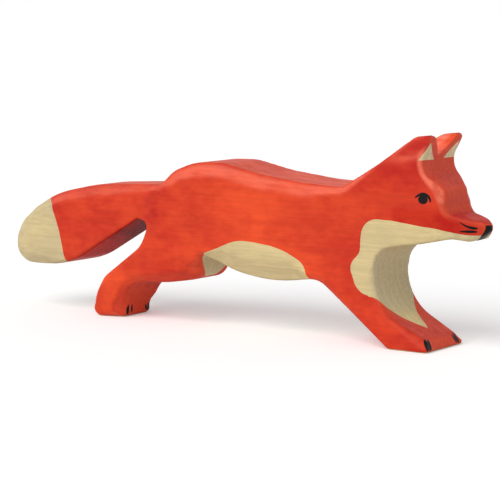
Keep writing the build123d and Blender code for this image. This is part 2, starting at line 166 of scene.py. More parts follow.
@dataclass
class SideLoop:
    """A closed line on the fox's side: straight runs with each corner rounded by an arc."""

    corners: list[Corner]  # the corners in order round the loop
    arc_points: int = 16  # points along each corner's arc
    step: float = 0.45  # spacing of the grid that distances are worked out on
    # lowest and highest place, and lowest and highest height, of that grid
    reach: tuple[float, float, float, float] = (-101.0, 101.0, -4.0, 74.0)
    distance: SideTable = field(init=False)  # distance to the loop, less than nought inside it
    ease: SideTable = field(init=False)  # height of the knife cut at the loop's nearest point
    slant: SideTable = field(init=False)  # slant of that cut

    def __post_init__(self) -> None:
        """Works out the tables of distance and of the knife cut's height and slant."""
        self.distance, self.ease, self.slant = self.tables()

    def line(self) -> tuple[np.ndarray, np.ndarray]:
        """Points along the loop and the knife cut at each.

        At a corner the runs are cut back by the bend over the tangent of half the corner's angle, and an
        arc of that bend joins them.

        Returns:
            The points as rows of x and z, and the cuts as rows of height and slant.
        """
        place = np.array([(corner.x, corner.z) for corner in self.corners])
        bend = np.array([corner.bend for corner in self.corners])[:, None]
        cut = np.array([(corner.ease, corner.slant) for corner in self.corners])
        to_last = unit(np.roll(place, 1, 0) - place)
        to_next = unit(np.roll(place, -1, 0) - place)
        half = np.arccos(np.clip((to_last * to_next).sum(1, keepdims=True), -1.0, 1.0)) / 2.0
        centre = place + unit(to_last + to_next) * bend / np.sin(half)
        start = place + to_last * bend / np.tan(half) - centre
        share = np.linspace(0.0, 1.0, self.arc_points)[None, :, None]
        side = np.sign(to_last[:, :1] * to_next[:, 1:] - to_last[:, 1:] * to_next[:, :1])
        turn = (-side * (pi - 2.0 * half))[:, None] * share
        quarter = np.stack([-start[:, 1], start[:, 0]], 1)[:, None]
        points = centre[:, None] + start[:, None] * np.cos(turn) + quarter * np.sin(turn)
        return points.reshape(-1, 2), np.repeat(cut, self.arc_points, axis=0)

    def tables(self) -> tuple[SideTable, ...]:
        """Distance to the loop, less than nought inside it, and the knife cut at its nearest point.

        The distance is the least over the loop's runs, and a place is inside where a ray from it crosses
        the loop an odd number of times.

        Returns:
            The distances and the cut's heights and slants.
        """
        start, cut = self.line()
        run = np.roll(start, -1, 0) - start
        squared = np.maximum((run * run).sum(1), TINY)
        next_cut = np.roll(cut, -1, 0)
        left, right, bottom, top = self.reach
        x = np.arange(left, right, self.step)
        z = np.arange(bottom, top, self.step)
        distance = np.empty((len(x), len(z)))
        cuts = np.empty((len(x), len(z), 2))
        for column, place in enumerate(x):
            away_x = place - start[:, 0]
            away_z = z[:, None] - start[:, 1]
            share = np.clip((away_x * run[:, 0] + away_z * run[:, 1]) / squared, 0.0, 1.0)
            gap = (away_x - share * run[:, 0]) ** 2 + (away_z - share * run[:, 1]) ** 2
            nearest = gap.argmin(1)
            row = np.arange(len(z))
            near_share = share[row, nearest][:, None]
            cuts[column] = cut[nearest] * (1.0 - near_share) + next_cut[nearest] * near_share
            above = start[:, 1] > z[:, None]
            crosses = above != np.roll(above, -1, 1)
            height_share = away_z / np.where(np.abs(run[:, 1]) < TINY, TINY, run[:, 1])
            inside = (crosses & (start[:, 0] + height_share * run[:, 0] > place)).sum(1) % 2 == 1
            distance[column] = np.sqrt(gap[row, nearest]) * np.where(inside, -1.0, 1.0)
        tables = (distance, cuts[..., 0], cuts[..., 1])
        return tuple(SideTable(left, bottom, self.step, table) for table in tables)


def sawn_outline(nose: float) -> SideLoop:
    """The line that the board was sawn to, clockwise from under the tail end.

    Args:
        nose: Place of the tip of the nose.

    Returns:
        The outline, with the height and the slant of the knife cut at each corner.
    """
    tail_top = [
        Corner(-91.6, 16.7, 9.0, 3.4, 2.0),
        Corner(-97.0, 20.2, 6.0, 3.4, 2.0),
        Corner(-97.5, 25.4, 9.0, 3.0, 1.6),
        Corner(-95.0, 31.0, 14.0, 3.0, 1.4),
        Corner(-88.5, 36.6, 24.0, 3.4, 1.2),
        Corner(-78.0, 42.9, 45.0, 4.0, 1.2),
        Corner(-58.0, 47.2, 80.0, 4.2, 1.2),
        Corner(-26.8, 48.8, 0.8, 2.0, 1.6),
    ]
    back = [
        Corner(-21.7, 53.8, 12.0, 4.4, 2.6),
        Corner(-12.0, 57.3, 25.0, 5.2, 3.7),
        Corner(0.0, 57.5, 25.0, 5.2, 4.0),
        Corner(14.0, 54.5, 60.0, 5.2, 4.0),
        Corner(32.0, 52.4, 60.0, 4.8, 3.8),
        Corner(47.7, 51.6, 8.0, 2.4, 3.0),
    ]
    head = [
        Corner(62.3, 60.2, 40.0, 0.8, 1.4),
        Corner(74.9, 69.2, 5.0, 1.6, 1.4),
        Corner(81.3, 69.9, 1.0, 0.4),
        Corner(76.2, 59.5, 6.0, 1.3),
        Corner(84.4, 52.4, 4.0, 2.3, 0.7),
        Corner(84.7, 44.8, 4.0, 0.9, 0.45),
        Corner(nose - 3.2, 42.8, 4.0, 1.0),
        Corner(nose, 41.4, 1.3, 1.0),
        Corner(nose - 0.3, 39.5, 1.3, 1.0),
        Corner(nose - 4.3, 35.9, 4.0, 0.8),
        Corner(87.5, 37.1, 8.0, 0.6),
        Corner(78.0, 35.1, 30.0, 0.5),
    ]
    front_leg = [
        Corner(60.7, 32.3, 8.0, 0.5),
        Corner(59.8, 13.6, 17.0, 1.0),
        Corner(79.0, 3.9, 3.0, 2.0),
        Corner(81.6, 0.0, 1.0, 0.5),
        Corner(66.2, 0.0, 4.0, 0.3),
    ]
    belly = [
        Corner(38.4, 20.9, 9.0, 2.0, 1.6),
        Corner(20.0, 18.0, 60.0, 6.6, 2.2),
        Corner(3.0, 20.6, 40.0, 6.4, 2.2),
        Corner(-9.8, 26.2, 2.2, 1.6, 1.4),
    ]
    hind_leg = [
        Corner(-12.0, 16.4, 6.0, 3.8),
        Corner(-26.0, 14.3, 60.0, 3.8, 1.6),
        Corner(-41.9, 13.8, 10.0, 2.6, 1.2),
        Corner(-45.5, 4.0, 8.0, 3.2, 0.8),
        Corner(-45.8, 0.0, 1.6, 2.8, 0.8),
        Corner(-58.6, 0.0, 2.6, 0.8),
        Corner(-56.5, 8.0, 20.0, 1.2),
        Corner(-52.1, 14.9, 5.0, 1.2),
        Corner(-36.6, 26.2, 8.0, 1.0),
    ]
    tail_underside = [
        Corner(-33.0, 34.7, 2.2, 0.6),
        Corner(-37.6, 36.2, 1.8, 0.6),
        Corner(-69.4, 17.8, 34.0, 0.9),
        Corner(-83.0, 16.8, 60.0, 3.0, 2.0),
    ]
    return SideLoop(tail_top + back + head + front_leg + belly + hind_leg + tail_underside)


@dataclass
class Carving:
    """The carved fox as a field: how far a place lies outside the wood, less than nought inside."""

    half: float = 12.0  # half the thickness of the board
    nose: float = 97.44  # place of the tip of the nose
    head_taper: float = 64.5  # where the head starts to narrow
    head_run: float = 20.0  # distance past that at which each side of the head lies in by head_fall
    head_fall: float = 1.72  # how far in it lies there
    head_power: float = 3.64  # power of the distance by which the head narrows
    tail_taper: float = -73.5  # where the tail starts to narrow
    tail_run: float = 26.0  # length over which it narrows
    tail_end_half: float = 7.7  # half the tail's width at its end
    tail_hollow: float = 1.6  # how far the tail's sides lie in from the board's
    haunch_hollow: float = 0.25  # depth of the hollow along the front of the haunch
    foot_taper: float = 12.4  # height at which the hind foot starts to narrow
    foot_end: float = 2.0  # how far below the sole it would end narrowing
    foot_half: float = 9.5  # half the hind foot's width there
    foot_power: float = 1.5  # power of the distance by which the hind foot narrows
    notch_foot: float = 63.0  # height of the bottom of the notch between the ears
    notch_half: float = 7.6  # half the notch's width at the ear tips
    slope_foot: float = 62.0  # height at which the ears' outsides start to lean in
    tip_half: float = 10.4  # half the width over the ear tips
    ear_height: float = 70.0  # height of the ear tips
    ear_soft: float = 0.8  # softness of the edges of the notch and of the ears' outsides
    crease: float = 0.4  # softness of an edge that only sandpaper touched
    cut_soft: float = 0.3  # softness of the edges of a knife cut of no height
    cut_soft_growth: float = 0.16  # how much softer they are for each millimetre of the cut's height
    steep_power: float = 0.7  # power of the slant that the softness of a steep cut is divided by
    outline: SideLoop = field(init=False)  # the sawn outline

    def __post_init__(self) -> None:
        """Draws the sawn outline."""
        self.outline = sawn_outline(self.nose)

    def half_width(self, x: np.ndarray, z: np.ndarray) -> np.ndarray:
        """Half the fox's width at each place on its side.

        The board's half thickness, less a power of the distance along the head, the square of that along
        the tail, a power of that down the hind foot, a step at the tail root, above the hind leg, and a
        bell-shaped hollow along the front of the haunch.

        Args:
            x: Places along the fox.
            z: Heights.

        Returns:
            Half widths.
        """
        along_head = np.maximum(x - self.head_taper, 0.0) / self.head_run
        above_paw = ramp(z, 26.0, 30.0)
        head = self.head_fall * along_head**self.head_power * above_paw
        along_tail = np.clip((self.tail_taper - x) / self.tail_run, 0.0, 1.0)
        tail = (self.half - self.tail_hollow - self.tail_end_half) * along_tail**2
        on_hind_leg = x < -30.0
        down_foot = np.clip((self.foot_taper - z) / (self.foot_taper + self.foot_end), 0.0, 1.0)
        foot = (self.half - self.foot_half) * (down_foot * on_hind_leg) ** self.foot_power
        above_hind_leg = ramp(z - 0.62 * (x + 35.0), 24.0, 32.0)
        root = self.tail_hollow * ramp(x, -26.0, -36.0) * above_hind_leg
        haunch_front = hump(x + 0.9 * z, 22.0, 2.2)
        haunch = self.haunch_hollow * haunch_front * ramp(z, 24.0, 30.0) * ramp(z, 46.0, 36.0)
        return self.half - head - tail - foot - root - haunch

    def field(self, places: np.ndarray) -> np.ndarray:
        """How far each place lies outside the carved wood.

        The soft greatest of the distance past the outline, past the side, past the knife cut along their
        edge, past the ears' leaning outsides and past the notch between the ears. The cut's distance is the
        distance past the outline, plus the slant times that past the side, plus the cut's height, over the
        root of one plus the slant squared. Its edges are softer the higher and the less steep the cut is.

        Args:
            places: Rows of x, y and z.

        Returns:
            One distance a place.
        """
        x, y, z = places.T
        across = np.abs(y)
        rim = self.outline.distance.read(x, z)
        ease = self.outline.ease.read(x, z)
        slant = self.outline.slant.read(x, z)
        flat = across - self.half_width(x, z)
        cut = (rim + slant * flat + ease) / np.sqrt(1.0 + slant * slant)
        soft = (self.cut_soft + self.cut_soft_growth * ease) / np.maximum(slant, 1.0) ** self.steep_power
        eased = soft_max(soft_max(rim, flat, self.crease), cut, soft)
        sloped = soft_max(eased, self.past_slope(across, z), self.ear_soft)
        return soft_max(sloped, self.past_notch(across, z), self.ear_soft)

    def past_notch(self, across: np.ndarray, z: np.ndarray) -> np.ndarray:
        """How far each place lies past the two slopes of the notch between the ears."""
        rise = (self.ear_height - self.notch_foot) / self.notch_half
        return (z - self.notch_foot - rise * across) / sqrt(1.0 + rise * rise)

    def past_slope(self, across: np.ndarray, z: np.ndarray) -> np.ndarray:
        """How far each place lies past the ears' leaning outsides."""
        lean = (self.half - self.tip_half) / (self.ear_height - self.slope_foot)
        return (across - self.half + lean * (z - self.slope_foot)) / sqrt(1.0 + lean * lean)

    def outward(self, places: np.ndarray, gap: float = 0.06) -> np.ndarray:
        """The field's slope at each place, which points straight out of the wood.

        Args:
            places: Rows of x, y and z.
            gap: Distance over which differences are taken.

        Returns:
            Rows of slopes.
        """
        steps = np.eye(3) * gap
        return np.stack([self.field(places + s) - self.field(places - s) for s in steps], 1) / (2.0 * gap)

    def settle(self, places: np.ndarray, rounds: int = 4) -> np.ndarray:
        """Moves places on to the skin, each along the field's slope by the field over the slope.

        Args:
            places: Rows of x, y and z near the skin.
            rounds: How often the move is repeated.

        Returns:
            Rows on the skin.
        """
        for _ in range(rounds):
            slope = self.outward(places)
            reach = self.field(places) / np.maximum((slope * slope).sum(1), LEAST_SLOPE)
            places = places - slope * np.clip(reach, -STRIDE, STRIDE)[:, None]
        return places

    def normals(self, places: np.ndarray) -> np.ndarray:
        """The outward direction at each place, of unit length."""
        return unit(self.outward(places))


@dataclass
class Skin:
    """A stretch of the fox's outside as triangles."""

    places: np.ndarray  # rows of x, y and z
    faces: np.ndarray  # rows of three place numbers, facing outwards
    normals: np.ndarray  # the outward direction at each place

    @classmethod
    def over(cls, carving: Carving, low: Triple, high: Triple, step: float) -> "Skin":
        """The skin inside a box.

        The field is worked out on a grid. A cell that the skin passes through holds one point, at the mean
        of the places where the skin crosses its edges, and each crossed edge joins the points of the four
        cells round it. The points are then settled on the skin.

        Args:
            carving: The carved fox.
            low: Lowest corner of the box.
            high: Highest corner of the box.
            step: Size of a cell.

        Returns:
            The skin.
        """
        axes = [np.arange(a, b + step, step) for a, b in zip(low, high)]
        grid = np.stack(np.meshgrid(*axes, indexing="ij"), -1)
        values = carving.field(grid.reshape(-1, 3)).reshape(grid.shape[:3])
        cells = tuple(n - 1 for n in values.shape)
        total = np.zeros(cells + (3,))
        count = np.zeros(cells)
        orders = ((0, 1, 2), (1, 0, 2), (2, 0, 1))
        crossings = []
        for axis, order in enumerate(orders):
            near = np.moveaxis(values, order, orders[0])
            before = near[:-1]
            after = near[1:]
            crossed = (before < 0.0) != (after < 0.0)
            share = np.where(crossed, before / np.where(crossed, before - after, 1.0), 0.0)
            spots = np.moveaxis(grid, order, orders[0])[:-1] * crossed[..., None]
            spots[..., axis] += share * step * crossed
            sums = np.moveaxis(total, order, orders[0])
            counts = np.moveaxis(count, order, orders[0])
            for back in (slice(0, -1), slice(1, None)):
                for down in (slice(0, -1), slice(1, None)):
                    sums += spots[:, back, down]
                    counts += crossed[:, back, down]
            crossings.append((crossed, before < 0.0))
        held = count > 0
        number = np.full(cells, -1)
        number[held] = np.arange(held.sum())
        places = total[held] / count[held][:, None]
        quads = []
        for axis, (crossed, inside) in enumerate(crossings):
            ring = np.moveaxis(number, orders[axis], orders[0])
            inner = crossed[:, 1:-1, 1:-1]
            corners = [ring[:, :-1, :-1], ring[:, 1:, :-1], ring[:, 1:, 1:], ring[:, :-1, 1:]]
            quad = np.stack([corner[inner] for corner in corners], 1)
            turned = inside[:, 1:-1, 1:-1][inner] == (axis == 1)
            quad[turned] = quad[turned][:, ::-1]
            quads.append(quad)
        faces = in_triangles(*np.concatenate(quads).T)
        places = carving.settle(places)
        return cls(places, faces, carving.normals(places))

    def part_where(self, mask: np.ndarray) -> "Skin":
        """The part of the skin where a mask is above nought, cut along the line where it is nought.

        A triangle with one or two corners above nought is cut across its edges in proportion to the mask.

        Args:
            mask: One value a place.

        Returns:
            The part, with new places along the cut.
        """
        above = mask > 0.0
        inside = above[self.faces].sum(1)
        whole = self.faces[inside == 3]
        one = self.faces[inside == 1]
        two = self.faces[inside == 2]
        lone_first = np.concatenate([
            np.take_along_axis(one, (above[one].argmax(1)[:, None] + np.arange(3)) % 3, 1),
            np.take_along_axis(two, ((~above[two]).argmax(1)[:, None] + np.arange(3)) % 3, 1),
        ])
        edges = np.concatenate([lone_first[:, [0, 1]], lone_first[:, [0, 2]]])
        ordered, which = np.unique(np.sort(edges, 1), axis=0, return_inverse=True)
        which = which.reshape(-1)
        start, end = ordered.T
        share = (mask[start] / (mask[start] - mask[end]))[:, None]
        cut_places = self.places[start] * (1.0 - share) + self.places[end] * share
        cut_normals = self.normals[start] * (1.0 - share) + self.normals[end] * share
        first_cut = len(self.places) + which[: len(lone_first)]
        second_cut = len(self.places) + which[len(lone_first):]
        tips = np.stack([lone_first[:, 0], first_cut, second_cut], 1)[: len(one)]
        _, b, c = lone_first[len(one):].T
        bases = in_triangles(first_cut[len(one):], b, c, second_cut[len(one):])
        faces = np.concatenate([whole, tips, bases])
        places = np.concatenate([self.places, cut_places])
        normals = np.concatenate([self.normals, cut_normals])
        kept, faces = np.unique(faces, return_inverse=True)
        return Skin(places[kept], faces.reshape(-1, 3), unit(normals[kept]))

    def coat(self, lift: float, depth: float) -> "Skin":
        """A closed coat on this stretch of skin, from lift above it to depth below it.

        The outer wall is the skin moved out along its normals, the inner wall the same moved in and turned
        round, and a strip joins the two along each edge that only one triangle has.

        Args:
            lift: Height of the outer wall above the skin.
            depth: Depth of the inner wall below the skin.

        Returns:
            The coat.
        """
        count = len(self.places)
        outer = self.places + self.normals * lift
        inner = self.places - self.normals * depth
        edges = np.concatenate([self.faces[:, [0, 1]], self.faces[:, [1, 2]], self.faces[:, [2, 0]]])
        _, first, seen = np.unique(np.sort(edges, 1), axis=0, return_index=True, return_counts=True)
        a, b = edges[first[seen == 1]].T
        strip = in_triangles(b, a, a + count, b + count)
        faces = np.concatenate([self.faces, self.faces[:, ::-1] + count, strip])
        return Skin(np.concatenate([outer, inner]), faces, np.concatenate([self.normals, -self.normals]))


@dataclass
class BarePlaces:
    """The places that the stain leaves bare, as distances that are above nought on bare wood."""

    chest_tip: float = 6.3  # height of the lowest point of the bare chest
    chest_top: float = 16.4  # height at which the bare chest is as wide as the fox
    chest_half: float = 11.7  # half the bare chest's width there
    chest_roof: float = 18.0  # height at which the bare throat takes over
    chest_back: float = 59.0  # place behind which the front leg isn't bare
    thigh: float = -10.8  # place of the bare patch on the thigh's front
    thigh_reach: float = 2.8  # how far the patch goes to both sides of that place
    thigh_low: float = 16.4  # height of the patch's lowest point
    thigh_high: float = 28.0  # height of its top
    ear_foot: float = 61.7  # height of the lowest point of the bare ear fronts
    ear_front: float = 76.2  # place in front of which they lie
    sole: float = 0.35  # height up to which the soles are bare
    waver: float = 0.04  # how strongly the brush strays from the line
    tail: SideLoop = field(init=False)  # the line round the bare tail tip
    belly: SideLoop = field(init=False)  # the line round the bare belly
    throat: SideLoop = field(init=False)  # the line round the bare throat

    def __post_init__(self) -> None:
        """Draws the lines on the fox's side."""
        self.tail = SideLoop([
            Corner(-105.0, 8.0, 2.0),
            Corner(-105.0, 60.0, 2.0),
            Corner(-86.5, 45.6, 2.0),
            Corner(-77.2, 38.9, 2.0),
            Corner(-73.4, 29.4, 40.0),
            Corner(-71.5, 20.8, 8.0),
            Corner(-68.8, 15.4, 2.0),
            Corner(-68.8, 8.0, 2.0),
        ])
        self.belly = SideLoop([
            Corner(-9.8, 21.0, 1.0),
            Corner(-8.2, 26.0, 3.0),
            Corner(7.0, 31.9, 16.0),
            Corner(24.0, 30.4, 30.0),
            Corner(33.6, 25.6, 5.0),
            Corner(34.6, 21.5, 3.0),
            Corner(38.5, 17.0, 1.0),
            Corner(38.5, 10.0, 1.0),
            Corner(-9.8, 10.0, 1.0),
        ])
        self.throat = SideLoop([
            Corner(101.0, 37.7, 1.0),
            Corner(91.5, 38.5, 20.0),
            Corner(82.0, 40.4, 30.0),
            Corner(67.5, 42.0, 14.0),
            Corner(55.8, 42.5, 6.4),
            Corner(55.6, 31.0, 4.0),
            Corner(51.3, 26.7, 4.0),
            Corner(54.6, 17.9, 6.0),
            Corner(63.6, 16.1, 1.0),
            Corner(78.0, 20.0, 1.0),
            Corner(101.0, 30.0, 1.0),
        ])

    def patches(self, x: np.ndarray, across: np.ndarray, z: np.ndarray) -> list[np.ndarray]:
        """How far each place lies inside the bare chest, thigh front and ear fronts.

        Each is the least of the distances inside its lines. The chest's half width grows by a power of the
        height and the thigh's along two straight lines, and the ear fronts lie between two leaning lines.

        Args:
            x: Places along the fox.
            across: Distances from the fox's middle.
            z: Heights.

        Returns:
            Distances inside each of the three.
        """
        rise = np.clip((z - self.chest_tip) / (self.chest_top - self.chest_tip), 0.0, 1.2)
        leg_front = 17.6 - 0.68 * (x - 49.0)
        in_chest = self.chest_half * rise**0.8 - across
        chest = [in_chest, z - leg_front, self.chest_roof - z, x - self.chest_back]
        thigh_half = np.minimum(3.2 + (z - 16.8), 6.6 + 0.55 * (z - 19.9))
        near_thigh = self.thigh_reach - np.abs(x - self.thigh)
        thigh = [thigh_half - across, z - self.thigh_low, self.thigh_high - z, near_thigh]
        up_ear = z - self.ear_foot
        past_inner = across - 3.0 - 1.09 * up_ear
        short_of_outer = 11.5 - 0.4 * up_ear - across
        ears = [up_ear, x - self.ear_front, past_inner, short_of_outer]
        return [np.minimum.reduce(lines) for lines in (chest, thigh, ears)]

    def distance(self, places: np.ndarray) -> np.ndarray:
        """How far each place lies inside the nearest bare place, with a small waver of the brush.

        The waver is the sum of two sines of the place.

        Args:
            places: Rows of x, y and z.

        Returns:
            Distances, above nought on bare wood.
        """
        x, y, z = places.T
        sides = [-loop.distance.read(x, z) for loop in (self.tail, self.belly, self.throat)]
        bare = np.maximum.reduce([*sides, *self.patches(x, np.abs(y), z), self.sole - z])
        stray = np.sin(0.45 * x + 0.6 * z + 0.4 * y) + 0.6 * np.sin(1.1 * z - 0.8 * x + 0.8 * y)
        return bare + self.waver * stray


def placed(name: str, data: bpy.types.ID) -> bpy.types.Object:
    """A new object of a mesh, a lamp or a camera, put into the scene."""
    thing = bpy.data.objects.new(name, data)
    bpy.context.scene.collection.objects.link(thing)
    return thing


def add_piece(
    name: str, skin: Skin, material: bpy.types.Material, slot: Slot, nodes: list[str]
) -> bpy.types.Object:
    """Makes an object of a skin and ties it to the frame.

    Args:
        name: The object's name.
        skin: Its triangles, in millimetres.
        material: Its finish.
        slot: The record's slot of that finish; not used.
        nodes: The CAD nodes that it stands for.

    Returns:
        The object.
    """
    mesh = bpy.data.meshes.new(name)
    mesh.vertices.add(len(skin.places))
    mesh.vertices.foreach_set("co", (skin.places * MILLIMETRE).ravel())
    mesh.loops.add(skin.faces.size)
    mesh.loops.foreach_set("vertex_index", skin.faces.ravel())
    mesh.polygons.add(len(skin.faces))
    mesh.polygons.foreach_set("loop_start", np.arange(0, skin.faces.size, 3))
    mesh.polygons.foreach_set("use_smooth", np.ones(len(skin.faces), bool))
    mesh.update(calc_edges=True)
    mesh.validate()
    mesh.normals_split_custom_set_from_vertices(skin.normals.tolist())
    mesh.materials.append(material)
    piece = placed(name, mesh)
    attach(piece, "root")
    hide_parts(*nodes)
    log.info("%s: %d triangles", name, len(skin.faces))
    return piece


def add_attribute(piece: bpy.types.Object, name: str, values: np.ndarray) -> None:
    """Stores one number a vertex on a piece, for its material to read."""
    piece.data.attributes.new(name, "FLOAT", "POINT").data.foreach_set("value", values.astype(np.float32))


@dataclass
class PaintedFox:
    """The fox itself: the wood and the stain on it."""

    carving: Carving
    bare: BarePlaces  # the places without stain
    low: Triple = (-98.7, -12.95, -0.9)  # lowest corner of the box that the skin is looked for in
    high: Triple = (98.7, 12.95, 71.2)  # highest corner of that box
    cell: float = 0.7  # size of the grid cells that the skin is found on
    stain_depth: float = 0.25  # how deep the stain's coat goes
    seat: float = 0.1  # how far the wood lies below the stain
    seat_run: float = 0.5  # distance from a bare place over which the wood sinks to that

    def eased(self, skin: Skin) -> np.ndarray:
        """How far a knife cut's rubbed colour and painted highlight show: from 0 outside a cut to 1 inside
        a wide one.

        Inside a cut, the lesser of the distances in from the outline and from the side is above nought. It
        is taken over the cut's height, less on the legs and the tail than on the back and the brow, where
        the painted highlight is strongest.

        Args:
            skin: The skin.

        Returns:
            One value a place.
        """
        x, y, z = skin.places.T
        outline = self.carving.outline
        ease = outline.ease.read(x, z)
        across = np.abs(y)
        past_side = np.maximum(across - self.carving.half_width(x, z), self.carving.past_slope(across, z))
        inside = np.minimum(-outline.distance.read(x, z), -outline.slant.read(x, z) * past_side) / ease
        high_up = ramp(z, 40.0, 46.0)
        # where the cut's colour shows: sanding wear, and a painted highlight on the back's and the brow's
        # bands
        above_legs = 0.32 * ramp(z, 24.0, 34.0)
        back = 0.24 * ramp(x, -30.0, -10.0) * high_up
        brow_highlight = 0.55 * ramp(x, 72.0, 75.5) * high_up
        wear_and_highlight = 0.08 + above_legs + back + brow_highlight
        return ramp(inside, 0.02, 0.3) * ramp(ease, 0.6, 1.5) * wear_and_highlight

    def pooled_and_shaded(self, skin: Skin) -> np.ndarray:
        """How much stain has run together in the slot below the tail, and how much painted shade lies
        there.

        A product of steps: on the sawn edge and not the sides, near the slot's slanting line, and growing
        from the tail tip to the slot's end.

        Args:
            skin: The stain's skin.

        Returns:
            One value a place.
        """
        x, y, z = skin.places.T
        past_side = np.abs(y) - self.carving.half_width(x, z)
        on_rim = ramp(self.carving.outline.distance.read(x, z), -0.8, -0.2) * ramp(past_side, -0.2, -0.8)
        above_slot = z - 36.2 - 0.59 * (x + 37.6)
        in_slot = on_rim * ramp(above_slot, 5.0, 3.0) * ramp(above_slot, -9.0, -6.0) * ramp(x, -30.0, -32.0)
        return in_slot * (0.95 * ramp(x, -72.0, -62.0) + ramp(x, -62.0, -40.0))

    def tone_and_light(self, skin: Skin) -> np.ndarray:
        """How thinly the stain was brushed on, with painted light and shade added.

        A sum of bell curves and steps: thinner about the flank, the hind leg and the paw, lighter on the
        tops for a painted highlight, thicker on the head, darker below the cheek for a second coat and
        painted shade, darker at the tail root for painted shade in its hollow, darker on the hind foot's
        front for stain soaked into the end grain and painted shade, lighter in the notch between the ears
        for painted light, and pooled below the tail with painted shade there.

        Args:
            skin: The stain's skin.

        Returns:
            From below 0, pooled stain and painted shade, over 0, a full coat, and 1, a thin one, to above
            1, painted light.
        """
        x, y, z = skin.places.T
        facing_nose, _, facing_up = skin.normals.T
        flank = 0.7 * hump(x, 17.0, 27.0) * ramp(z, 60.0, 48.0)
        hind_leg = 0.75 * hump(x, -49.0, 11.0) * ramp(z, 26.0, 14.0) * ramp(facing_nose, 0.7, 0.3)
        paw = 0.3 * ramp(x, 60.0, 66.0) * ramp(z, 13.0, 6.0)
        # lighter on surfaces facing up, behind the head: a painted highlight
        top = 0.5 * ramp(facing_up, 0.75, 0.97) * ramp(x, 58.0, 50.0)
        head = 0.34 * ramp(x, 56.0, 70.0)
        # darker below the cheek: a second coat, and painted shade of the facet there
        second_coat_and_shade = 0.3 * ramp(x, 67.1, 67.9) * ramp(z, 47.6, 45.2) * ramp(z, 34.0, 37.0)
        # darker at the tail root: painted shade in the hollow there
        root = 0.55 * hump(x, -29.5, 5.0) * ramp(z, 28.0, 38.0)
        # darker on the hind foot's front: stain soaked into the end grain, and painted shade where it faces
        # away from the lamp
        hind_front_soak_and_shade = 0.5 * ramp(facing_nose, 0.3, 0.7) * ramp(x, -36.0, -40.0) * ramp(z, 15.0, 11.0)
        coat = 0.25 + flank + hind_leg + paw + top - head - second_coat_and_shade - root - hind_front_soak_and_shade
        # lighter in the notch between the ears: painted light on the ears' inner faces
        painted_light = 1.1 * ramp(self.carving.past_notch(np.abs(y), z), -0.5, -0.1)
        return np.clip(coat, -0.35, 1.0) + painted_light - self.pooled_and_shaded(skin)

    def paleness_and_light(self, skin: Skin) -> np.ndarray:
        """How pale the bare wood is: a step up from the tail to the chest, more on the thigh, and more on
        the ear fronts for painted light.
        """
        x, _, z = skin.places.T
        # paler on the thigh, and on the ear fronts a painted light
        lit_ears_and_thigh = 1.6 * ramp(z, 58.0, 60.0) + 0.9 * hump(x, -11.5, 3.0) * ramp(z, 27.0, 24.0)
        return 0.15 + 0.6 * ramp(x, -60.0, 40.0) + lit_ears_and_thigh

    def build(self, finishes: "Finishes") -> None:
        """Builds the wood and the stain.

        Below the stain the wood lies in from the skin, by a straight ramp from the edge of a bare place.

        Args:
            finishes: Their materials.
        """
        skin = Skin.over(self.carving, self.low, self.high, self.cell)
        bare = self.bare.distance(skin.places)
        sunk = self.seat * np.clip(-bare / self.seat_run, 0.0, 1.0)
        body = Skin(skin.places - skin.normals * sunk[:, None], skin.faces, skin.normals)
        wood = add_piece("wooden_body", body, finishes.maple, Slot.BARE, ["wooden_body"])
        add_attribute(wood, "eased", self.eased(skin))
        add_attribute(wood, "tone_and_light", self.paleness_and_light(skin))
        coat = skin.part_where(-bare).coat(0.0, self.stain_depth)
        stain = add_piece("red_stain", coat, finishes.stain, Slot.RED, ["red_stain"])
        add_attribute(stain, "eased", self.eased(coat))
        # the coat's thinness, with painted light and shade
        add_attribute(stain, "tone_and_light", self.tone_and_light(coat))


@dataclass
class Brush:
    """Black brush marks on the skin."""

    carving: Carving
    film: float = 0.05  # how far the paint stands above the skin
    bite: float = 0.2  # how far it goes below the skin
    along: int = 40  # points along a stroke
    around: int = 20  # points round a stroke's profile

    def stroke(self, path: np.ndarray, half_width: np.ndarray) -> Skin:
        """One stroke: a flat lens of a profile carried along a path on the skin.

        At each point of the path the profile runs round from one edge over the film to the other edge and
        back below the skin: half the width times the cosine across the path, and the film or the bite times
        the sine out of the skin. Where the stroke has less than half its greatest width, it is thinner too.

        Args:
            path: Rows of x, y and z near the skin.
            half_width: Half the stroke's width at each.

        Returns:
            The closed stroke.
        """
        path = self.carving.settle(path)
        side = unit(np.cross(self.carving.normals(path), np.gradient(path, axis=0)))
        angle = np.linspace(0.0, 2.0 * pi, self.around, endpoint=False)
        spread = path[:, None] + side[:, None] * (half_width[:, None] * np.cos(angle))[..., None]
        flat = self.carving.settle(spread.reshape(-1, 3))
        out = self.carving.normals(flat)
        rise = np.where(np.sin(angle) > 0.0, self.film, self.bite) * np.sin(angle)
        full = np.clip(half_width / (0.5 * half_width.max()), 0.0, 1.0)
        places = flat + out * (full[:, None] * rise).reshape(-1, 1)
        rows = np.arange(len(path) - 1)[:, None] * self.around
        here = np.arange(self.around)
        after = (here + 1) % self.around
        a = (rows + here).ravel()
        b = (rows + after).ravel()
        faces = in_triangles(a, b, b + self.around, a + self.around)
        first = np.stack([np.zeros(self.around - 2, int), here[2:], here[1:-1]], 1)
        last = len(places) - self.around + first[:, ::-1]
        above = np.tile(np.sin(angle) >= -TINY, len(path))[:, None]
        return Skin(places, np.concatenate([faces, first, last]), np.where(above, out, -out))

    def add_mark(self, name: str, strokes: list[Skin], finishes: "Finishes") -> None:
        """Makes one black piece of some strokes, for the CAD node of the same name."""
        add_piece(name, joined(strokes), finishes.black, Slot.BLACK, [name])


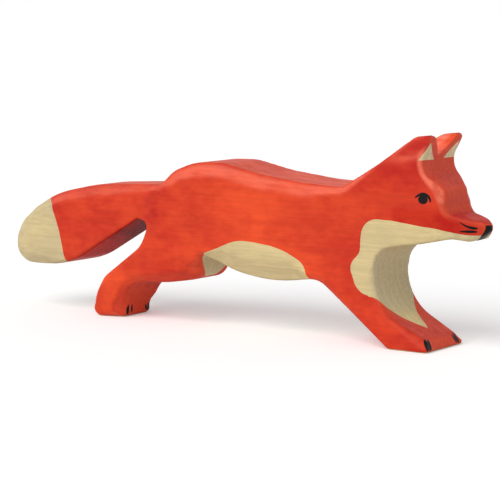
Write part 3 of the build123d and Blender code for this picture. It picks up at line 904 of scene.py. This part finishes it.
def joined(skins: list[Skin]) -> Skin:
    """Several skins as one, with their face numbers shifted past the places before them."""
    counts = np.cumsum([0] + [len(skin.places) for skin in skins[:-1]])
    return Skin(
        np.concatenate([skin.places for skin in skins]),
        np.concatenate([skin.faces + count for skin, count in zip(skins, counts)]),
        np.concatenate([skin.normals for skin in skins]),
    )


def curve_through(points: Points, count: int) -> np.ndarray:
    """A smooth line through a few points: a polynomial in the share of the way along.

    Args:
        points: A few points on the fox's side.
        count: How many places are wanted along it.

    Returns:
        Rows of the two coordinates.
    """
    knots = np.array(points)
    share = np.linspace(0.0, 1.0, len(knots))
    wanted = np.linspace(0.0, 1.0, count)
    fits = [np.polyval(np.polyfit(share, knots[:, k], len(knots) - 1), wanted) for k in range(2)]
    return np.stack(fits, 1)


@dataclass
class Face:
    """The eyes, the mouth strokes and the painted nose."""

    brush: Brush
    eye: tuple[float, float] = (78.6, 49.4)  # place along the fox and height of the eyes' middles
    eye_half_length: float = 1.66  # half an eye's length
    eye_half_height: float = 1.42  # half an eye's height
    # points of the stroke over an eye, from the eye's middle
    lid: Points = ((-2.8, 0.5), (-1.05, 1.55), (0.6, 1.75), (2.0, 0.8), (2.45, -0.85))
    lid_half: float = 0.45  # half that stroke's greatest width
    # points of the upper mouth stroke
    upper_lip: Points = ((89.9, 42.7), (91.9, 41.2), (93.4, 40.7), (94.6, 40.5))
    lower_lip: Points = ((89.9, 39.6), (92.0, 39.6), (94.5, 39.5))  # points of the lower mouth stroke
    mouth_half: float = 0.46  # half the mouth strokes' greatest width
    # power of one less the squared share of the way by which a lid or a mouth stroke ends
    blunt: float = 0.35
    nose_top: float = 41.4  # height up to which the muzzle's end is black
    nose_half: float = 1.1  # half the black strip's width at its top
    nose_growth: float = 0.25  # how much wider each half is for each millimetre down
    nose_drop: float = 4.0  # how far down it goes on widening
    nose_shift: float = 1.2  # how far the strip lies to the fox's right
    chin: float = 95.2  # place at which the strip starts to narrow under the muzzle
    chin_run: float = 2.4  # length over which it ends there
    tip_low: Triple = (90.0, -7.0, 33.0)  # lowest corner of the box round the muzzle's end
    tip_high: Triple = (98.6, 7.0, 46.0)  # highest corner of that box
    tip_cell: float = 0.3  # size of the grid cells in it

    def stroke(self, line: np.ndarray, half_width: np.ndarray, flank: Flank) -> Skin:
        """One stroke along a line in x and z, on one flank of the fox."""
        y = flank.value * self.brush.carving.half_width(*line.T)
        return self.brush.stroke(np.insert(line, 1, y, 1), half_width + STROKE_END)

    def nose(self) -> Skin:
        """The black nose: a strip over the muzzle's end that widens downwards from its top.

        Under the muzzle the strip's half width is multiplied by the height of a quarter circle.

        Returns:
            The closed coat.
        """
        tip = Skin.over(self.brush.carving, self.tip_low, self.tip_high, self.tip_cell)
        x, y, z = tip.places.T
        down = self.nose_top - z
        under = np.clip((self.chin - x) / self.chin_run, 0.0, 1.0)
        half = self.nose_half + self.nose_growth * np.clip(down, 0.0, self.nose_drop)
        inside = half * np.sqrt(1.0 - under * under) - np.abs(y + self.nose_shift)
        return tip.part_where(np.minimum(inside, down)).coat(self.brush.film, self.brush.bite)

    def build(self, finishes: "Finishes") -> None:
        """Builds the face's marks.

        An eye is an oval, a stroke whose half width is the root of one less the squared share of the way.
        A mouth stroke swells from its back end to its front.

        Args:
            finishes: Their materials.
        """
        share = np.linspace(-1.0, 1.0, self.brush.along)
        bulge = np.maximum(1.0 - share**2, 0.0)
        lens = bulge**self.blunt
        swell = (0.55 + 0.45 * ramp(share, -1.0, 0.6)) * lens
        x, z = self.eye
        dot_line = np.stack([x + self.eye_half_length * share, np.full_like(share, z)], 1)
        lid_line = curve_through(tuple((x + dx, z + dz) for dx, dz in self.lid), self.brush.along)
        lips = [curve_through(points, self.brush.along) for points in (self.upper_lip, self.lower_lip)]
        for flank in Flank:
            side = flank.name.lower()
            dot = self.stroke(dot_line, self.eye_half_height * np.sqrt(bulge), flank)
            lid = self.stroke(lid_line, self.lid_half * lens, flank)
            self.brush.add_mark(side + "_eye", [dot, lid], finishes)
            mouth = [self.stroke(line, self.mouth_half * swell, flank) for line in lips]
            self.brush.add_mark(side + "_mouth", mouth, finishes)
        self.brush.add_mark("nose_tip", [self.nose()], finishes)


@dataclass(frozen=True)
class Claw:
    """One claw stroke on the front of a foot."""

    across: float  # how far its bottom lies from the fox's middle
    lean: float  # how much nearer the middle its top lies
    low: float  # height of its bottom
    high: float  # height of its top
    half: float  # half its width


@dataclass
class Claws:
    """Two claw strokes, painted by hand, on each side of each foot's front."""

    brush: Brush
    front_toe: float = 81.6  # place of the front foot's toe
    hind_toe: float = -45.6  # place of the hind foot's toe
    toe_slope: float = 0.5  # how far back the toes lean for each millimetre of height

    def groups(self) -> dict[str, tuple[float, tuple[Claw, Claw]]]:
        """The toe's place and the two strokes for each group of claws."""
        front_right = (Claw(11.4, 2.3, 0.6, 5.4, 0.9), Claw(9.6, 1.9, 0.5, 4.9, 0.75))
        front_left = (Claw(9.2, 1.0, 0.7, 4.8, 0.75), Claw(7.8, 0.8, 1.0, 4.2, 0.5))
        hind_right = (Claw(5.9, 0.6, 0.8, 5.3, 0.7), Claw(3.6, -0.1, 1.4, 5.2, 0.5))
        hind_left = (Claw(6.4, 1.0, 0.8, 4.3, 0.8), Claw(5.0, 0.8, 1.3, 3.9, 0.5))
        return {
            "front_right_claws": (self.front_toe, front_right),
            "front_left_claws": (self.front_toe, front_left),
            "hind_right_claws": (self.hind_toe, hind_right),
            "hind_left_claws": (self.hind_toe, hind_left),
        }

    def build(self, finishes: "Finishes") -> None:
        """Builds the claws of both feet.

        A stroke's half width grows over its upper half and ends in the root of one less a fourth power.

        Args:
            finishes: Their materials.
        """
        share = np.linspace(0.0, 1.0, self.brush.along)
        ends = np.maximum(1.0 - (2.0 * share - 1.0) ** 4, 0.0) ** 0.5
        taper = (0.45 + 0.55 * ramp(share, 0.0, 0.5)) * ends
        for name, (toe, claws) in self.groups().items():
            side = Flank.LEFT if "left" in name else Flank.RIGHT
            marks = []
            for claw in claws:
                z = claw.high + (claw.low - claw.high) * share
                y = side.value * (claw.across - claw.lean * (1.0 - share))
                path = np.stack([toe - self.toe_slope * z, y, z], 1)
                marks.append(self.brush.stroke(path, claw.half * taper + STROKE_END))
            self.brush.add_mark(name, marks, finishes)


@dataclass
class Bench:
    """A node tree on the bench: adds nodes, sets their constants and wires their sockets."""

    tree: bpy.types.NodeTree  # the tree that is worked on

    def add(self, kind: str, inputs: dict, **settings: object) -> bpy.types.Node:
        """Adds one shader node.

        Args:
            kind: The node's type, without the ShaderNode in front.
            inputs: For each input, a socket to wire to it or a constant.
            settings: The node's own options.

        Returns:
            The node.
        """
        node = self.tree.nodes.new("ShaderNode" + kind)
        for name, value in settings.items():
            setattr(node, name, value)
        for key, value in inputs.items():
            if isinstance(value, bpy.types.NodeSocket):
                self.tree.links.new(value, node.inputs[key])
            else:
                node.inputs[key].default_value = value
        return node

    def math(self, operation: str, first: object, second: object = 0.0, third: object = 0.0) -> Socket:
        """One sum of up to three values or sockets."""
        return self.add("Math", {0: first, 1: second, 2: third}, operation=operation).outputs[0]

    def weighed(self, first: object, weight: float, second: object, other: float) -> Socket:
        """The sum of two values, each times its own weight."""
        return self.math("ADD", self.math("MULTIPLY", first, weight), self.math("MULTIPLY", second, other))

    def fit(self, value: object, low: float, high: float, to_low: float, to_high: float) -> Socket:
        """A value taken from one range to another and held inside it, with soft ends."""
        inputs = {"Value": value, "From Min": low, "From Max": high, "To Min": to_low, "To Max": to_high}
        return self.add("MapRange", inputs, interpolation_type="SMOOTHSTEP").outputs["Result"]

    def blend(self, share: object, first: object, second: object, way: str = "MIX") -> Socket:
        """Two colours mixed by a share."""
        node = self.add("Mix", {0: share, 6: first, 7: second}, data_type="RGBA", blend_type=way)
        return node.outputs[2]

    def attribute(self, name: str) -> Socket:
        """A number stored on the piece's vertices."""
        return self.add("Attribute", {}, attribute_name=name).outputs["Fac"]

    def millimetres(self) -> Socket:
        """Places on the fox in millimetres."""
        places = self.add("TexCoord", {}).outputs["Object"]
        return self.add("VectorMath", {0: places, "Scale": 1.0 / MILLIMETRE}, operation="SCALE").outputs[0]

    def noise(self, places: object, stretch: Triple, detail: float, roughness: float = 0.55) -> Socket:
        """Cloudy noise about one half, with its clouds drawn out by the inverse of the stretch."""
        drawn = self.add("VectorMath", {0: places, 1: stretch}, operation="MULTIPLY").outputs[0]
        inputs = {"Vector": drawn, "Scale": 1.0, "Detail": detail, "Roughness": roughness}
        return self.add("TexNoise", inputs).outputs[0]

    def wire(self, value: Socket, node: bpy.types.Node, name: str) -> None:
        """Wires a socket to a node's input."""
        self.tree.links.new(value, node.inputs[name])


def effect_group(name: str, outputs: list[str]) -> tuple[Bench, bpy.types.Node]:
    """An empty shader node group that gives some values.

    Args:
        name: The group's name.
        outputs: Names of the values.

    Returns:
        A bench for the group and its output node.
    """
    group = bpy.data.node_groups.new(name, "ShaderNodeTree")
    for output in outputs:
        group.interface.new_socket(output, in_out="OUTPUT", socket_type="NodeSocketFloat")
    return Bench(group), group.nodes.new("NodeGroupOutput")


def board_grain(spacing: float = 3.1, bend: float = 9.0, tilt: float = 0.1) -> bpy.types.NodeTree:
    """The board's grain: year rings that lie along the board, fibres along its length and end grain.

    Rings are a sine of the place across the board, bent by broad noise and tilted with the height. Fibres
    are noise drawn out along the fox. End grain is the share of a surface that faces along the fox.

    Args:
        spacing: Distance from ring to ring in millimetres.
        bend: How far the noise bends the rings.
        tilt: How far across the rings go for each millimetre of height.

    Returns:
        A group giving Rings, Fibres and End Grain from 0 to 1.
    """
    bench, out = effect_group("board grain", ["Rings", "Fibres", "End Grain"])
    places = bench.millimetres()
    split = bench.add("SeparateXYZ", {0: places}).outputs
    sway = bench.noise(places, (0.012, 0.05, 0.03), 2.0)
    bent = bench.math("MULTIPLY_ADD", sway, bend, split["Y"])
    tilted = bench.math("MULTIPLY_ADD", split["Z"], tilt, bent)
    wave = bench.math("SINE", bench.math("MULTIPLY", tilted, 2.0 * pi / spacing))
    bench.wire(bench.fit(wave, -0.6, 1.0, 0.0, 1.0), out, "Rings")
    coarse = bench.noise(places, (0.035, 0.9, 0.9), 3.0)
    fine = bench.noise(places, (0.12, 3.2, 3.2), 2.0)
    fibres = bench.weighed(coarse, 0.6, fine, 0.4)
    bench.wire(bench.fit(fibres, 0.3, 0.7, 0.0, 1.0), out, "Fibres")
    normal = bench.add("NewGeometry", {}).outputs["Normal"]
    facing = bench.math("ABSOLUTE", bench.add("SeparateXYZ", {0: normal}).outputs["X"])
    bench.wire(bench.fit(facing, 0.35, 0.95, 0.0, 1.0), out, "End Grain")
    return bench.tree


def hand_work() -> bpy.types.NodeTree:
    """The traces of the hand: clouds where the brush left more or less, and edges rubbed by sandpaper,
    with a painted highlight on them.

    Clouds are broad and small noise together. The rubbed edges with their painted highlight are the
    attribute of the eased edges times noise.

    Returns:
        A group giving the clouds and the rubbed edges with their painted highlight, from 0 to 1.
    """
    bench, out = effect_group("hand work", ["Clouds", "Rubbed"])
    places = bench.millimetres()
    broad = bench.noise(places, (0.05, 0.07, 0.075), 3.0)
    small = bench.noise(places, (0.2, 0.3, 0.36), 2.0)
    clouds = bench.weighed(broad, 0.65, small, 0.35)
    bench.wire(bench.fit(clouds, 0.34, 0.66, 0.0, 1.0), out, "Clouds")
    patchy = bench.fit(bench.noise(places, (0.08, 0.5, 0.3), 2.0), 0.3, 0.6, 0.45, 1.0)
    # rubbed edges: sanding wear and a painted highlight
    bench.wire(bench.math("MULTIPLY", bench.attribute("eased"), patchy), out, "Rubbed")
    return bench.tree


@dataclass(frozen=True)
class WoodFinish:
    """One finish on the fox."""

    name: str
    deep: Triple  # colour where the clouds are thickest
    light: Triple  # colour where they are thinnest
    end_grain: Triple  # colour on surfaces that face along the fox
    rubbed: Triple  # colour on rubbed edges, with a painted highlight
    rubbed_and_highlight_share: float  # how far rubbed edges take that colour and its painted highlight
    grain: float  # how much the fibres and rings darken the colour
    roughness: float  # roughness between the fibres
    relief: float  # height of the grain in millimetres
    sheen: float  # level of the mirror reflection

    def material(self, grain: bpy.types.NodeTree, hand: bpy.types.NodeTree) -> bpy.types.Material:
        """Builds the material.

        The colour goes from deep to light with the clouds and with the stored tone, which holds the
        thinness of the coat and painted light and shade; it takes up the end grain's colour and that of the
        rubbed edges with their painted highlight, is darkened by the grain and by pooled stain with painted
        shade, which is duller too, and is lightened by painted light.

        Args:
            grain: The board's grain.
            hand: The traces of the hand.

        Returns:
            The material.
        """
        material = bpy.data.materials.new(self.name)
        material.use_nodes = True
        bench = Bench(material.node_tree)
        shader = bench.tree.nodes["Principled BSDF"]
        board = bench.add("Group", {}, node_tree=grain).outputs
        work = bench.add("Group", {}, node_tree=hand).outputs
        # the stored tone: the coat's thinness or the wood's paleness, with painted light and shade
        tone_and_light = bench.attribute("tone_and_light")
        laid_and_lit = bench.weighed(work["Clouds"], 0.5, tone_and_light, 0.6)
        # darker in the slot under the tail: pooled stain and painted shade
        pooled_and_shaded = bench.fit(laid_and_lit, -0.8, -0.2, 0.36, 1.0)
        # lighter where the tone passes 1.05: painted light in the ear notch and on the bare ear fronts
        painted_light = bench.fit(laid_and_lit, 1.05, 1.65, 1.0, 1.25)
        colour = bench.blend(laid_and_lit, (*self.deep, 1.0), (*self.light, 1.0))
        end_share = bench.math("MULTIPLY", board["End Grain"], 0.75)
        colour = bench.blend(end_share, colour, (*self.end_grain, 1.0))
        rubbed_and_highlight_share = bench.math("MULTIPLY", work["Rubbed"], self.rubbed_and_highlight_share)
        colour = bench.blend(rubbed_and_highlight_share, colour, (*self.rubbed, 1.0))
        lines = bench.weighed(board["Fibres"], 0.8, board["Rings"], 0.2)
        shade = bench.fit(lines, 0.0, 1.0, 1.0 - self.grain, 1.0 + 0.4 * self.grain)
        shade = bench.math("MULTIPLY", shade, bench.math("MULTIPLY", pooled_and_shaded, painted_light))
        grey = bench.add("CombineXYZ", {0: shade, 1: shade, 2: shade}).outputs[0]
        bench.wire(bench.blend(1.0, colour, grey, "MULTIPLY"), shader, "Base Color")
        gloss = bench.fit(board["Fibres"], 0.0, 1.0, self.roughness + 0.1, self.roughness - 0.05)
        bench.wire(gloss, shader, "Roughness")
        # less reflection in the slot under the tail, part of its pooled stain and painted shade
        gleam = bench.fit(tone_and_light, -0.5, -0.1, 0.3 * self.sheen, self.sheen)
        bench.wire(gleam, shader, "Specular IOR Level")
        relief = {"Height": lines, "Strength": 0.5, "Distance": self.relief * MILLIMETRE}
        bench.wire(bench.add("Bump", relief).outputs["Normal"], shader, "Normal")
        return material


MAPLE = WoodFinish(
    name="bare maple",
    deep=(0.50, 0.405, 0.235),
    light=(0.665, 0.525, 0.255),
    end_grain=(0.63, 0.54, 0.345),
    rubbed=(0.66, 0.52, 0.28),
    rubbed_and_highlight_share=0.3,
    grain=0.13,
    roughness=0.6,
    relief=0.05,
    sheen=0.15,
)
STAIN = WoodFinish(
    name="red stain",
    deep=(0.46, 0.014, 0.008),
    light=(0.76, 0.072, 0.018),
    end_grain=(0.82, 0.088, 0.034),
    # lighter and pinker than the stain: rubbed edges with a painted highlight
    rubbed=(0.95, 0.2, 0.12),
    rubbed_and_highlight_share=0.8,
    grain=0.09,
    roughness=0.48,
    relief=0.05,
    sheen=0.15,
)
PAINT = WoodFinish(
    name="black paint",
    deep=(0.004, 0.003, 0.003),
    light=(0.008, 0.007, 0.007),
    end_grain=(0.006, 0.005, 0.005),
    rubbed=(0.012, 0.01, 0.01),
    rubbed_and_highlight_share=0.2,
    grain=0.2,
    roughness=0.4,
    relief=0.04,
    sheen=0.12,
)


@dataclass
class Finishes:
    """The fox's three finishes."""

    maple: bpy.types.Material = field(init=False)
    stain: bpy.types.Material = field(init=False)
    black: bpy.types.Material = field(init=False)

    def __post_init__(self) -> None:
        """Makes the materials."""
        grain = board_grain()
        hand = hand_work()
        self.maple = MAPLE.material(grain, hand)
        self.stain = STAIN.material(grain, hand)
        self.black = PAINT.material(grain, hand)


@dataclass
class Studio:
    """The floor, the light and the camera."""

    # degrees that the camera stands round from the fox's right side towards its front
    azimuth: float = 35.0
    elevation: float = 6.943  # degrees that it looks down
    distance: float = 0.6891  # metres from it to its target
    target: Triple = (0.0036, 0.0, 0.02694)  # the place that it looks at, in metres
    focal_pixels: float = 2000.0  # its focal length in pixels of the picture
    sensor: float = 36.0  # width of its sensor
    ambient: float = 0.42  # strength of the white surround as a light
    key: float = 2.3  # strength of the lamp
    key_spread: float = 50.0  # degrees of the sky that the lamp fills
    key_from: Triple = (-0.1, -0.76, 0.62)  # direction towards the lamp
    floor_reach: float = 12.0  # metres from the middle of the floor to its edges
    floor_grey: float = 0.88  # brightness of the floor
    floor_roughness: float = 0.9  # roughness of the floor
    floor_sheen: float = 0.25  # level of the floor's mirror reflection
    floor_glow: float = 0.24  # how strongly the floor glows where it is seen directly

    def build(self) -> None:
        """Builds the floor, the light and the camera."""
        self.add_camera()
        self.add_floor()
        self.add_light()
        bpy.context.scene.view_settings.view_transform = "Standard"

    def add_camera(self) -> None:
        """The camera, at the photograph's viewing angle."""
        a = radians(self.azimuth)
        e = radians(self.elevation)
        back = Vector((sin(a) * cos(e), -cos(a) * cos(e), sin(e)))
        data = bpy.data.cameras.new("camera")
        data.sensor_width = self.sensor
        data.lens = self.focal_pixels / IMAGE_WIDTH * self.sensor
        camera = placed("camera", data)
        camera.location = Vector(self.target) + back * self.distance
        camera.rotation_euler = back.to_track_quat("Z", "Y").to_euler()
        bpy.context.scene.camera = camera

    @staticmethod
    def seen_directly(bench: Bench) -> Socket:
        """A value of 1 where the camera, a mirror or glass sees the surface, and 0 where it lights others.

        Args:
            bench: The material's or the world's nodes, which get the new ones.

        Returns:
            The socket with the value.
        """
        rays = bench.add("LightPath", {}).outputs
        seen = bench.math("MAXIMUM", rays["Is Camera Ray"], rays["Is Glossy Ray"])
        return bench.math("MAXIMUM", seen, rays["Is Transmission Ray"])

    def add_floor(self) -> None:
        """A wide pale floor."""
        reach = self.floor_reach
        corners = [(-reach, -reach, 0), (reach, -reach, 0), (reach, reach, 0), (-reach, reach, 0)]
        mesh = bpy.data.meshes.new("floor")
        mesh.from_pydata(corners, [], [(0, 1, 2, 3)])
        material = bpy.data.materials.new("pale floor")
        material.use_nodes = True
        bench = Bench(material.node_tree)
        shader = bench.tree.nodes["Principled BSDF"]
        shader.inputs["Base Color"].default_value = (self.floor_grey, self.floor_grey, self.floor_grey, 1.0)
        shader.inputs["Roughness"].default_value = self.floor_roughness
        shader.inputs["Specular IOR Level"].default_value = self.floor_sheen
        shader.inputs["Emission Color"].default_value = WHITE
        glow = bench.math("MULTIPLY", self.seen_directly(bench), self.floor_glow)
        bench.wire(glow, shader, "Emission Strength")
        mesh.materials.append(material)
        floor = placed("floor", mesh)

    def add_light(self) -> None:
        """A white surround and a large soft lamp above the camera's left."""
        world = bpy.data.worlds.new("studio")
        world.use_nodes = True
        bench = Bench(world.node_tree)
        background = bench.tree.nodes["Background"]
        background.inputs["Color"].default_value = WHITE
        levels = {"Value": self.seen_directly(bench), "To Min": self.ambient, "To Max": 1.0}
        bench.wire(bench.add("MapRange", levels).outputs["Result"], background, "Strength")
        bpy.context.scene.world = world
        lamp = bpy.data.lights.new("soft lamp", "SUN")
        lamp.energy = self.key
        lamp.angle = radians(self.key_spread)
        soft_lamp = placed("soft lamp", lamp)
        soft_lamp.rotation_euler = Vector(self.key_from).to_track_quat("Z", "Y").to_euler()


def main() -> None:
    """Builds the fox and its studio."""
    logging.basicConfig(level=logging.INFO, format="%(message)s")
    Studio().build()
    finishes = Finishes()
    carving = Carving()
    PaintedFox(carving, BarePlaces()).build(finishes)
    brush = Brush(carving)
    Face(brush).build(finishes)
    Claws(brush).build(finishes)


if __name__ == "__main__":
    main()
